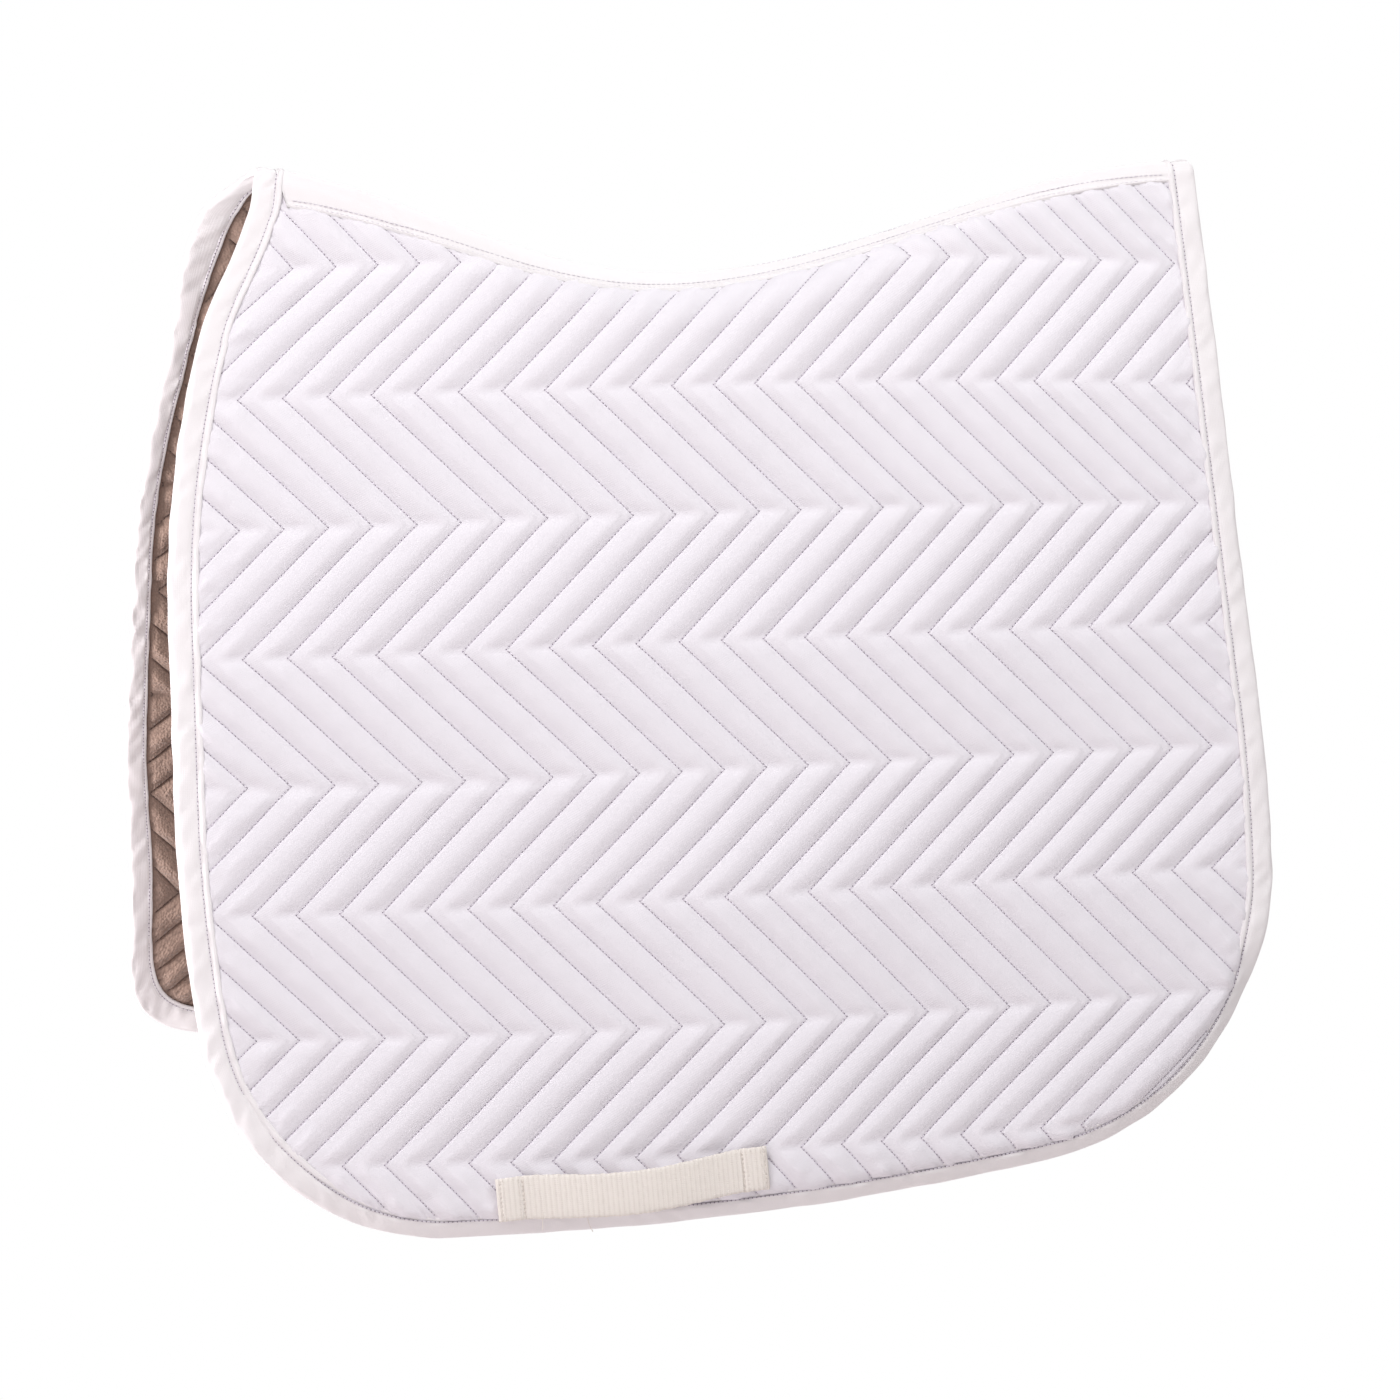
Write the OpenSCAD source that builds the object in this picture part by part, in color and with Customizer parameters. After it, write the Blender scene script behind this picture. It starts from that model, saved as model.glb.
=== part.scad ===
// Quilted dressage saddle pad: two quilted flaps joined by a curved spine, bound all round its edge,
// with a webbing girth strap on each flap.  Millimetres.  +X towards the rear of the horse, +Y towards its
// right side, +Z up.  The origin is the lowest point of the spine's underside, where the pad rests.
// On a flap, u runs towards the rear, v runs down the flap and n points outwards from its middle layer.

/* [Spine] */
// How far the spine rises from its dip to either end
spine_rise = 65; // [50:1:65]
// Length of the rising curve in front of the dip
rise_front = 270; // [260:1:300]
// Length of the rising curve behind the dip
rise_rear = 314; // [300:1:340]
// Angle of each flap from the vertical
lean = 17; // [14:0.5:17]
// Distance from the middle plane to a flap's middle layer, level with the origin
half_spread = 25.2; // [25:0.1:28]

/* [Flap outline] */
// Reach of the front edge ahead of the origin
front_reach = 302; // [295:1:320]
// Radius of the sweep of the front edge up to the withers
front_r = 600; // [560:10:700]
// Depth of the most forward point of the front edge
front_v = 184; // [170:1:195]
// Depth at which the front edge starts to turn back
bend_v = 284; // [270:1:300]
// Radius of that first, gentle turn
bend_r = 858; // [800:1:950]
// Angle of that first turn
bend_a = 8.7; // [6:0.1:11]
// Radius of the lower front corner
front_corner_r = 143; // [120:1:160]
// Where the bottom edge starts to rise towards the rear
rise_u = -110; // [-140:1:-90]
// Radius of the rising bottom edge
bottom_r = 1900; // [1700:10:2100]
// Angle through which the bottom edge rises
rise_a = 9.5; // [8:0.1:11]
// Radius of the lower rear corner
rear_corner_r = 172; // [150:1:180]
// Radius of the turn from that corner into the rear edge
rear_r = 1050; // [900:10:1200]
// Slope of the straight rear edge
rear_a = 5.3; // [4:0.1:6.5]

/* [Layers] */
// Thickness of the foam between the fabrics
foam_t = 6.4; // [5:0.1:6.4]
// Thickness of the outer face fabric
face_t = 0.8; // [0.5:0.1:1]
// Thickness of the lining
lining_t = 0.8; // [0.5:0.1:0.9]
// Thickness of the edge binding tape
tape_t = 1; // [0.6:0.1:1.1]
// Width of the edge binding on each side
binding_w = 17; // [14:0.5:20]
// Width of the rolled lip along the binding's inner edge
lip_w = 4; // [3:0.5:5]
// Height of that lip above the tape
lip_h = 0.6; // [0.4:0.1:1]

/* [Quilting] */
// Spacing of the zigzag lines
quilt_pitch = 24.8; // [20:0.1:30]
// Number of spacings that one leg of a zigzag crosses
leg_pitches = 3; // [2:1:4]
// Distance from one row of corners to the next
row_pitch = 73; // [60:1:90]
// Depth of the highest row of corners
first_row = -20; // [-24:1:-10]
// Width of a stitched line
thread_w = 0.8; // [0.5:0.1:1.2]
// Height of a stitched line above the fabric
thread_h = 0.3; // [0.2:0.1:0.5]

/* [Girth strap] */
// Length of the strap
strap_l = 159; // [140:1:180]
// Width of the webbing
strap_w = 25; // [20:1:30]
// Thickness of one layer of webbing
webbing_t = 1.6; // [1.2:0.1:2]
// Length of each doubled, stitched end
strap_end = 17; // [14:0.5:22]
// How far the middle of the strap stands away from its ends
strap_bow = 9; // [7:0.5:11]
// Place of the strap's middle along the flap
strap_u = -48; // [-80:1:0]
// Depth of the strap's middle
strap_v = 509; // [495:1:510]
// Angle of the strap, up towards the rear
strap_a = 4; // [3:0.5:6]

/* [Fold] */
// Depth of the line where a flap folds away from the spine
fold_v = 33; // [33:1:40]
// Clear space above the fold line
fold_gap = 6.2; // [6:0.1:6.5]

/* [Spine band] */
// Width of the band on each side of the ridge, at the rear
band_rear = 12; // [10:1:16]
// Width of the band on each side of the ridge, over the front half
band_front = 22; // [18:1:26]
// Width of the inner spine tape on each side of the ridge
inner_tape_w = 14; // [10:0.5:18]

/* [Hidden] */

$fn = 48;
eps = 0.01;
face_n = foam_t / 2 + face_t;          // outer surface of the face fabric
lining_n = -foam_t / 2 - lining_t;     // inner surface of the lining
core_inset = 1.2;                      // the layers stop short of the binding's outer edge
loose = 0.25;                          // clearance under what is sewn over the curved layers
cut_v = fold_v - fold_gap;             // lower end of everything sewn to the spine
leg_w = quilt_pitch * leg_pitches;
ridge_z = -lining_n;                   // height of the middle layer at the dip
stitch_inset = binding_w - lip_w;      // the binding is sewn down along the outer side of its lip
arc_steps = 9;
stations = 44;
arc_sections = 6;
section_steps = 8;
white = [0.93, 0.92, 0.95];
warm_white = [0.93, 0.91, 0.85];
brown = [0.55, 0.45, 0.40];

// ---- Flap outline ----
// A direction on the flap: 0 points forwards, 90 down, 180 to the rear
function heading(a) = [-cos(a), sin(a)];

bend_c = [-front_reach + bend_r, bend_v];
front_corner_c = bend_c + (bend_r - front_corner_r) * heading(bend_a);
bottom_v = front_corner_c.y + front_corner_r;
bottom_c = [rise_u, bottom_v - bottom_r];
rear_corner_c = bottom_c + (bottom_r - rear_corner_r) * heading(90 + rise_a);
rear_c = rear_corner_c + (rear_corner_r - rear_r) * heading(180);
front_c = [-front_reach + front_r, front_v];

// Points of one arc of the outline, moved inwards by inset
function outline_arc(c, r, a0, a1, inset, steps = arc_steps) =
    [for (k = [0:steps]) c + (r - inset) * heading(a0 + (a1 - a0) * k / steps)];

// Where the front and the rear edge lie at a given depth
function front_u(v, inset) = front_c.x - sqrt(pow(front_r - inset, 2) - pow(v - front_v, 2));
function rear_u(v, inset) =
    let (p = rear_c + (rear_r - inset) * heading(180 + rear_a))
    p.x - (p.y - v) * tan(rear_a);

// The flap's edge from the fold line at the front, down and round to the fold line at the rear
function flap_edge(inset, top_v = fold_v) = concat(
    outline_arc(front_c, front_r, asin((top_v - front_v) / (front_r - inset)), 0, inset, 5),
    outline_arc(bend_c, bend_r, 0, bend_a, inset, 3),
    outline_arc(front_corner_c, front_corner_r, bend_a, 90, inset),
    outline_arc(bottom_c, bottom_r, 90, 90 + rise_a, inset, 6),
    outline_arc(rear_corner_c, rear_corner_r, 90 + rise_a, 180, inset),
    outline_arc(rear_c, rear_r, 180, 180 + rear_a, inset, 2),
    [[rear_u(top_v, inset), top_v]]
);

function reversed(list) = [for (k = [len(list) - 1:-1:0]) list[k]];

// A strip of the flap that follows its edge between two insets
module edge_strip(inset0, inset1) {
    polygon(concat(flap_edge(inset0), reversed(flap_edge(inset1))));
}

// Places u, v, n coordinates on the right flap, or mirrored on the left one
module on_flap(side) {
    mirror([0, side == "left" ? 1 : 0, 0])
        translate([0, half_spread, 0])
            rotate([lean - 90, 0, 0])
                children();
}

// A flat layer of the flap between two heights
module layer(inset, n0, n1) {
    translate([0, 0, n0])
        linear_extrude(n1 - n0)
            polygon(flap_edge(inset));
}

// ---- Flap parts ----
module flap_foam(side) {
    color("gainsboro") on_flap(side) {
        layer(core_inset, -foam_t / 2, foam_t / 2);
        translate([front_u(fold_v, core_inset), fold_v, 0])
            rotate([0, 90, 0])
                cylinder(r = foam_t / 2, h = rear_u(fold_v, core_inset) - front_u(fold_v, core_inset));
    }
}

module flap_face(side) {
    color(white) on_flap(side) layer(core_inset, foam_t / 2, face_n);
}

module flap_lining(side) {
    color(brown) on_flap(side) layer(core_inset, lining_n, -foam_t / 2);
}

// Tape folded round the edge, with its rolled lip on the outer side
module edge_binding(side) {
    color(white) on_flap(side) {
        difference() {
            translate([0, 0, lining_n - tape_t])
                linear_extrude(face_n - lining_n + 2 * tape_t)
                    edge_strip(0, binding_w);
            translate([0, 0, lining_n])
                linear_extrude(face_n - lining_n)
                    edge_strip(core_inset, binding_w + eps);
        }
        translate([0, 0, face_n + tape_t])
            linear_extrude(lip_h)
                edge_strip(stitch_inset, binding_w);
    }
}

module binding_stitching(side) {
    color(warm_white) on_flap(side)
        translate([0, 0, face_n + tape_t])
            linear_extrude(thread_h)
                edge_strip(stitch_inset - 1.5 * thread_w, stitch_inset - 0.5 * thread_w);
}

// Corner number k of the zigzag line that starts at u, counted downwards from the first row
function zigzag_corner(u, k) = [u + (k % 2 == 0 ? leg_w : 0), first_row + k * row_pitch];

module quilt_line(u) {
    rows = ceil((bottom_v - first_row) / row_pitch);
    half = [thread_w * sqrt(0.5), 0];
    right_side = [for (k = [0:rows]) zigzag_corner(u, k) + half];
    left_side = [for (k = [rows:-1:0]) zigzag_corner(u, k) - half];
    polygon(concat(right_side, left_side));
}

module quilt_thread(side) {
    first_line = floor((-front_reach - leg_w) / quilt_pitch);
    last_line = ceil((rear_corner_c.x + rear_corner_r) / quilt_pitch);
    color(warm_white) on_flap(side)
        translate([0, 0, face_n])
            linear_extrude(thread_h)
                difference() {
                    intersection() {
                        polygon(flap_edge(binding_w + 0.5, fold_v + 0.5));
                        union()
                            for (k = [first_line:last_line])
                                quilt_line((k + 0.5) * quilt_pitch);
                    }
                    translate([strap_u, strap_v])
                        rotate(-strap_a)
                            square([strap_l + 1, strap_w + 1], center = true);
                }
}

// Height of the webbing's underside above the face fabric, at a distance x from the middle of the strap
open_l = strap_l - 2 * strap_end;
function bow(x) = webbing_t + strap_bow * cos(180 * x / open_l);

// Sets the strap's own axes: x along it, y across it, z outwards
module on_strap(side) {
    on_flap(side)
        translate([strap_u, strap_v, face_n])
            rotate([0, 0, -strap_a])
                children();
}

module girth_strap(side) {
    steps = 16;
    under = [for (k = [0:steps]) let (x = open_l * (k / steps - 0.5)) [x, bow(x)]];
    over = [for (p = reversed(under)) [p.x, p.y + webbing_t]];
    end = strap_l / 2;
    profile = concat(
        [[-end, 0], [-open_l / 2, 0]], under, [[open_l / 2, 0], [end, 0]],
        [[end, 2 * webbing_t]], over, [[-end, 2 * webbing_t]]
    );
    color("ivory") difference() {
        on_strap(side)
            translate([0, strap_w / 2, 0])
                rotate([90, 0, 0])
                    linear_extrude(strap_w)
                        polygon(profile);
        on_flap(side)
            translate([0, 0, lining_n])
                linear_extrude(face_n - lining_n + tape_t)
                    edge_strip(-1, binding_w);
        on_flap(side)
            translate([0, 0, lining_n])
                linear_extrude(face_n - lining_n + tape_t + lip_h)
                    edge_strip(stitch_inset - 2 * thread_w, binding_w);
    }
}

// A box of stitches on each doubled end
module strap_stitching(side) {
    margin = 2;
    box = [strap_end - 2 * margin, strap_w - 2 * margin];
    color(warm_white) on_strap(side)
        for (end = [-1, 1])
            translate([end * (strap_l - strap_end) / 2, 0, 2 * webbing_t])
                linear_extrude(thread_h)
                    difference() {
                        square(box, center = true);
                        square(box - 2 * [thread_w, thread_w], center = true);
                    }
}

// ---- Spine parts ----
// Share of the spine's rise reached at u
function rise(u) = (1 - cos(180 * min(1, abs(u) / (u < 0 ? rise_front : rise_rear)))) / 2;
function mid_z(u) = ridge_z + spine_rise * rise(u);

// Radius of the middle layer over the ridge, where it runs tangent into both flaps
function ridge_r(u) = (half_spread * cos(lean) - mid_z(u) * sin(lean)) / (1 - sin(lean));

// Length of that arc from the ridge to the flap, and from the ridge to the lower end of the spine
function arc_l(u) = ridge_r(u) * (90 - lean) * PI / 180;
function tangent_v(u) = -(mid_z(u) - ridge_r(u) * (1 - sin(lean))) / cos(lean);
function spine_l(u) = arc_l(u) + cut_v - tangent_v(u);

// A point over the ridge: l is the distance from the ridge, to the right if positive, n the height above
// the middle layer
function roof(u, l, n) =
    let (
        r = ridge_r(u),
        a = min(abs(l), arc_l(u)) / r * 180 / PI,
        rest = max(0, abs(l) - arc_l(u)),
        y = (r + n) * sin(a) + rest * sin(lean),
        z = mid_z(u) - r + (r + n) * cos(a) - rest * cos(lean)
    )
    [u, sign(l) * y, z];

// Distance from the ridge to place number j: 0 on the ridge, section_steps at the lower end, less than 0 to
// the left.  The first places share out the arc and the others the straight part.
function section_l(u, j) =
    let (k = abs(j), part = (k - arc_sections) / (section_steps - arc_sections))
    k <= arc_sections
        ? arc_l(u) * j / arc_sections
        : sign(j) * (arc_l(u) + part * (spine_l(u) - arc_l(u)));

// The front and rear edges over the ridge, at place number j
function edge_v(j, u_end) = cut_v - spine_l(u_end) + abs(section_l(u_end, j));
function front_edge(j, inset) = front_u(edge_v(j, front_u(-70, 0)), inset);
function rear_edge(j, inset) = rear_u(edge_v(j, rear_u(-70, 0)), inset);

// Place number i along a half, between a front and a rear edge, with one at each inner edge of the binding
function station_u(i, j) =
    i == 0 ? front_edge(j, core_inset)
    : i == stations ? rear_edge(j, core_inset)
    : let (u0 = front_edge(j, binding_w), u1 = rear_edge(j, binding_w))
        u0 + (u1 - u0) * (i - 1) / (stations - 2);

// A grid of points over the left or the right half
function roof_grid(side, n) = [
    for (i = [0:stations]) [
        for (k = [0:section_steps])
            let (
                j = side == "left" ? min(-eps, k - section_steps) : max(eps, k),
                u = station_u(i, j)
            )
            roof(u, section_l(u, j), n)
    ]
];

// Half width of the spine band: wide over the front half, narrow at the rear
function band_half(u) =
    let (s = max(0, min(1, (150 - u) / 250)))
    band_rear + (band_front - band_rear) * s * s * (3 - 2 * s);

// A grid of points that follows the band, from one fraction of its half width to another
function band_grid(f0, f1, n, inset, steps) = [
    for (i = [0:stations]) [
        for (j = [0:steps])
            let (
                f = f0 + (f1 - f0) * j / steps,
                u0 = front_edge(0, inset),
                u = u0 + (rear_edge(0, inset) - u0) * i / stations
            )
            roof(u, f * band_half(u), n)
    ]
];

// The same for the inner tape, which has one width all along
function tape_grid(n, inset, steps) = [
    for (i = [0:stations]) [
        for (j = [0:steps])
            let (
                u0 = front_edge(0, inset),
                u = u0 + (rear_edge(0, inset) - u0) * i / stations
            )
            roof(u, inner_tape_w * (2 * j / steps - 1), n)
    ]
];

// A solid between an upper and a lower grid of the same size
module slab(upper, lower) {
    rows = len(upper);
    cols = len(upper[0]);
    count = rows * cols;
    function at(i, j) = i * cols + j;
    top = [
        for (i = [0:rows - 2], j = [0:cols - 2], half = [0, 1])
            half == 0
                ? [at(i, j), at(i, j + 1), at(i + 1, j + 1)]
                : [at(i, j), at(i + 1, j + 1), at(i + 1, j)]
    ];
    bottom = [for (f = top) [f[2] + count, f[1] + count, f[0] + count]];
    rim = concat(
        [for (j = [0:cols - 1]) at(0, j)],
        [for (i = [1:rows - 1]) at(i, cols - 1)],
        [for (j = [cols - 2:-1:0]) at(rows - 1, j)],
        [for (i = [rows - 2:-1:1]) at(i, 0)]
    );
    wall = [
        for (k = [0:len(rim) - 1], half = [0, 1])
            let (a = rim[k], b = rim[(k + 1) % len(rim)])
            half == 0 ? [b, a, a + count] : [b, a + count, b + count]
    ];
    points = concat([for (row = upper) each row], [for (row = lower) each row]);
    polyhedron(points, concat(top, bottom, wall));
}

// A solid swept through a list of closed rings, closed by a flat cap at both ends.  Its faces are cut the same
// way as those of the layers it meets.
module sweep(rings) {
    sides = len(rings[0]);
    last = (len(rings) - 1) * sides;
    walls = [
        for (i = [0:len(rings) - 2], k = [0:sides - 1], half = [0, 1])
            let (
                a = i * sides + k,
                b = i * sides + (k + 1) % sides,
                same = rings[i][k].x <= rings[i][(k + 1) % sides].x
            )
            same
                ? (half == 0 ? [a, b, b + sides] : [a, b + sides, a + sides])
                : (half == 0 ? [a, b, a + sides] : [b, b + sides, a + sides])
    ];
    start = [for (k = [sides - 1:-1:0]) k];
    finish = [for (k = [0:sides - 1]) last + k];
    polyhedron([for (ring = rings) each ring], concat(walls, [start, finish]));
}

// One layer of the spine's left or right half
module half_layer(side, n0, n1) {
    slab(roof_grid(side, n1), roof_grid(side, n0));
}

// Tape folded round the front or rear edge, over the ridge from fold to fold
module top_binding(front) {
    profile = [
        [0, lining_n - tape_t], [0, face_n + tape_t], [binding_w, face_n + tape_t], [binding_w, face_n],
        [core_inset, face_n], [core_inset, lining_n], [binding_w, lining_n], [binding_w, lining_n - tape_t]
    ];
    ring_count = 2 * section_steps;
    rings = [
        for (i = [0:ring_count]) [
            for (p = front ? profile : reversed(profile))
                let (
                    j = i - section_steps,
                    u = front ? front_edge(j, p[0]) : rear_edge(j, p[0])
                )
                roof(u, section_l(u, j), p[1])
        ]
    ];
    color(white) sweep(rings);
}

module spine_band() {
    inset = binding_w + 0.3;
    steps = 2 * section_steps;
    n = face_n + loose;
    color(white)
        slab(band_grid(-1, 1, n + tape_t, inset, steps), band_grid(-1, 1, n, inset, steps));
}

// Two lines of stitches along each side of the band
module spine_stitching() {
    inset = binding_w + 1;
    n = face_n + tape_t + 2 * loose;
    color(warm_white)
        for (side = [-1, 1], f = [0.86, 0.94])
            slab(
                band_grid(side * f - 0.02, side * f + 0.02, n + thread_h, inset, 1),
                band_grid(side * f - 0.02, side * f + 0.02, n, inset, 1)
            );
}

module spine_tape() {
    inset = binding_w + 0.3;
    steps = 2 * section_steps;
    n = lining_n - loose;
    color(brown)
        slab(tape_grid(n, inset, steps), tape_grid(n - 0.6, inset, steps));
}

module top_foam(side) {
    color("gainsboro") half_layer(side, -foam_t / 2, foam_t / 2);
}

module top_face(side) {
    color(white) half_layer(side, foam_t / 2, face_n);
}

module top_lining(side) {
    color(brown) half_layer(side, lining_n, -foam_t / 2);
}

spine_band();
spine_stitching();
spine_tape();
top_binding(true);  // front_binding_top
top_binding(false);  // rear_binding_top
top_face("left");  // left_face_top
top_foam("left");  // left_foam_top
top_lining("left");  // left_lining_top
top_face("right");  // right_face_top
top_foam("right");  // right_foam_top
top_lining("right");  // right_lining_top
flap_face("left");  // left_face
flap_foam("left");  // left_foam
flap_lining("left");  // left_lining
quilt_thread("left");  // left_quilt_thread
edge_binding("left");  // left_edge_binding
binding_stitching("left");  // left_binding_stitching
girth_strap("left");  // left_girth_strap
strap_stitching("left");  // left_strap_stitching
flap_face("right");  // right_face
flap_foam("right");  // right_foam
flap_lining("right");  // right_lining
quilt_thread("right");  // right_quilt_thread
edge_binding("right");  // right_edge_binding
binding_stitching("right");  // right_binding_stitching
girth_strap("right");  // right_girth_strap
strap_stitching("right");  // right_strap_stitching
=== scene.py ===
import math

import bpy
import numpy as np
from mathutils import Matrix, Vector


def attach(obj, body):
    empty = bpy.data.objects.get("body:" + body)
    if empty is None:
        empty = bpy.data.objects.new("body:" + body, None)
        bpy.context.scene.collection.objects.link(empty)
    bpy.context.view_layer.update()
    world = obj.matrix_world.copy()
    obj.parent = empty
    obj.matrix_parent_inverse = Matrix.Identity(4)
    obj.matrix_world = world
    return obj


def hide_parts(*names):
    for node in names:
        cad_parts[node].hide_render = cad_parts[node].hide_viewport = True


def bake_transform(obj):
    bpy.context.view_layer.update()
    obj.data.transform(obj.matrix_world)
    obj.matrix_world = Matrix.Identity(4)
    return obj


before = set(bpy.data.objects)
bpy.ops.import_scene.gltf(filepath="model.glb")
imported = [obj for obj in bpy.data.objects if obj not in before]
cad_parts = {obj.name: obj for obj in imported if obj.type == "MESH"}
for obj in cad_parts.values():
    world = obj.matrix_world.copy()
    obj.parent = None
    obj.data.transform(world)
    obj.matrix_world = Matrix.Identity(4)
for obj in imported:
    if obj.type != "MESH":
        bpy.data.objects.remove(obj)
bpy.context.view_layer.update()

# Quilted dressage saddle pad.  +X is towards the rear of the horse, +Y towards its right side and +Z up.
# Lengths are in mm while shapes are worked out, and in metres on every mesh.  On each half of the pad u
# runs to the rear, v down the cloth from the lowest point of the ridge, and n outwards from the cloth's
# middle layer; l is the length along the cloth from the ridge.  side is -1 for the left half and 1 for the
# right half.
MM = 0.001
SIDES = {"left": -1, "right": 1}

# ---- The CAD's own measures ----
SPINE_RISE, RISE_FRONT, RISE_REAR = 65.0, 270.0, 314.0
LEAN = math.radians(17.0)
HALF_SPREAD = 25.2
FRONT_REACH, FRONT_R, FRONT_V = 302.0, 600.0, 184.0
BEND_V, BEND_R, BEND_A = 284.0, 858.0, 8.7
FRONT_CORNER_R, RISE_U, BOTTOM_R, RISE_A = 143.0, -110.0, 1900.0, 9.5
REAR_CORNER_R, REAR_R, REAR_A = 172.0, 1050.0, 5.3
BINDING_W, FOLD_V, FOLD_GAP = 17.0, 33.0, 6.2
FIRST_ROW, ROW, PITCH, LEG = -20.0, 73.0, 24.8, 3
LEG_W = PITCH * LEG
STRAP_U, STRAP_V, STRAP_A, STRAP_L, STRAP_W = -48.0, 509.0, math.radians(4.0), 159.0, 25.0
WEBBING_T, STRAP_END, STRAP_BOW = 1.6, 17.0, 9.0
BAND_REAR, BAND_FRONT, TAPE_HALF = 12.0, 22.0, 14.0
RIDGE_Z = 4.0
CUT_V = FOLD_V - FOLD_GAP
SIN_L, COS_L = math.sin(LEAN), math.cos(LEAN)

# ---- Softness ----
N_PITCH = 10            # cells of the cloth's grid across one spacing of the quilting
N_ROW = N_PITCH * LEG   # and down one row
CELL_U, CELL_V = PITCH / N_PITCH, ROW / N_ROW
BLOCK = 3               # cells across one block of its plain back
SEW_N = 0.9             # height of the sewn lines over the middle layer
THREAD_N = SEW_N + 0.28 # and of the thread in them
PUFF_GAIN = 1.12        # share of the simulated puff kept on the face
LINING_GAIN = 1.7       # and on the lining
FLANK = 0.90            # power that steepens the flanks of the rolls
SINK_INSET = 15.4       # the cloth is held flat under the binding up to here
SINK_IN = 5.6           # and less far in where the tape turns under
CURL_W, CURL = 30.0, 2.5  # width and depth of the curl along the bound edges
LONG_SWAY, SHORT_SWAY, ROUGH_SWAY = 2.2, 1.3, 0.5  # heights of the waves that the flaps hang in
SHARP_REACH, SHARP_DEEP, SHARP_WIDE = 16.0, 0.80, 2.6  # the crease that each corner of a zigzag pulls
SOFT_DEEP, SOFT_WIDE, MOST_GATHERED = 0.32, 5.5, 0.86  # and the wider dip round it
# a fold across the front, from how the pad was stored
STORED_AT, STORED_DEEP = FIRST_ROW + 4 * ROW + 3, 0.55

# ---- The edge tape and the stitches ----
TUCK_A = math.radians(38.0)  # how far the tape turns under along the bottom
LIP_COVER = 3.0         # how deep the lip lies under the cloth's edge there
SEAM_IN = 6.4           # how much nearer to the edge the quilting runs there
INSIDE_LESS = 3.0       # how much narrower the tape is inside the upper front edge
INSIDE_MORE = 5.0       # and how much wider at its very top
STITCH_PITCH = 2.5
QUILT_R, TAPE_R, BAND_R, STRAP_R = 0.40, 0.34, 0.34, 0.27  # half widths of the threads
HOLE_WIDE, HOLE_LONG, HOLE_HIGH = 1.4, 0.62, 0.55  # a needle hole's size beside its thread's

# ---- How this pad hangs off its even outline ----
HANG_AHEAD, PULLED_BACK = 16.0, 6.5  # at the top front, of the right flap and of the left one
CORNER_AT, CORNER_REACH, CORNER_PULL = (-262.0, 494.0), 54.0, 34.0
CORNER_WAY = (-0.72, 0.69)  # the way the right flap's lower front corner hangs out


def heading(a):
    """Unit vector at a degrees from straight ahead, turning downwards."""
    return np.array([-math.cos(math.radians(a)), math.sin(math.radians(a))])


BEND_C = np.array([-FRONT_REACH + BEND_R, BEND_V])
FRONT_CORNER_C = BEND_C + (BEND_R - FRONT_CORNER_R) * heading(BEND_A)
BOTTOM_V = FRONT_CORNER_C[1] + FRONT_CORNER_R
BOTTOM_C = np.array([RISE_U, BOTTOM_V - BOTTOM_R])
REAR_CORNER_C = BOTTOM_C + (BOTTOM_R - REAR_CORNER_R) * heading(90 + RISE_A)
REAR_C = REAR_CORNER_C + (REAR_CORNER_R - REAR_R) * heading(180)
FRONT_C = np.array([-FRONT_REACH + FRONT_R, FRONT_V])
REAR_P = REAR_C + REAR_R * heading(180 + REAR_A)


def front_u(v, inset=0.0):
    """Where the front edge's arc is at the depth v."""
    return FRONT_C[0] - np.sqrt((FRONT_R - inset) ** 2 - (np.minimum(v, FRONT_V) - FRONT_V) ** 2)


def rear_u(v, inset=0.0):
    """Where the straight upper part of the rear edge is at the depth v."""
    p = REAR_C + (REAR_R - inset) * heading(180 + REAR_A)
    return p[0] - (p[1] - v) * math.tan(math.radians(REAR_A))


def smooth(x):
    """A smooth step from 0 to 1."""
    x = np.clip(x, 0.0, 1.0)
    return x * x * (3 - 2 * x)


def swell(x, most, grow, until, fade):
    """Grows from 0 to most over the length grow, and from until on it fades over the length fade."""
    return most * smooth(x / grow) * (1 - smooth((x - until) / fade))


# ---- The surface of the pad ----
def rise(u):
    """How far the ridge has risen from its dip, as a share."""
    return (1 - np.cos(np.pi * np.minimum(1, np.abs(u) / np.where(u < 0, RISE_FRONT, RISE_REAR)))) / 2


def mid_z(u):
    """Height of the ridge's middle layer."""
    return RIDGE_Z + SPINE_RISE * rise(u)


def ridge_r(u):
    """Radius of the ridge across the pad."""
    return (HALF_SPREAD * COS_L - mid_z(u) * SIN_L) / (1 - SIN_L)


def arc_l(u):
    """Length along the cloth from the ridge to the end of its curve."""
    return ridge_r(u) * (math.pi / 2 - LEAN)


def ridge_v(u):
    """The depth at which the cloth reaches the ridge."""
    return -(mid_z(u) - ridge_r(u) * (1 - SIN_L)) / COS_L - arc_l(u)


def noise(x, y, seed):
    """Smooth noise from -1 to 1 over a plane, one hump per unit."""
    size = 64
    grid = np.random.default_rng(seed).uniform(-1, 1, (size, size))

    def at(a, b):
        return grid[a % size, b % size]

    x, y = np.asarray(x, float), np.asarray(y, float)
    i, j = np.floor(x).astype(int), np.floor(y).astype(int)
    fx, fy = smooth(x - i), smooth(y - j)
    low = at(i, j) * (1 - fx) + at(i + 1, j) * fx
    high = at(i, j + 1) * (1 - fx) + at(i + 1, j + 1) * fx
    return low * (1 - fy) + high * fy


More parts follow.
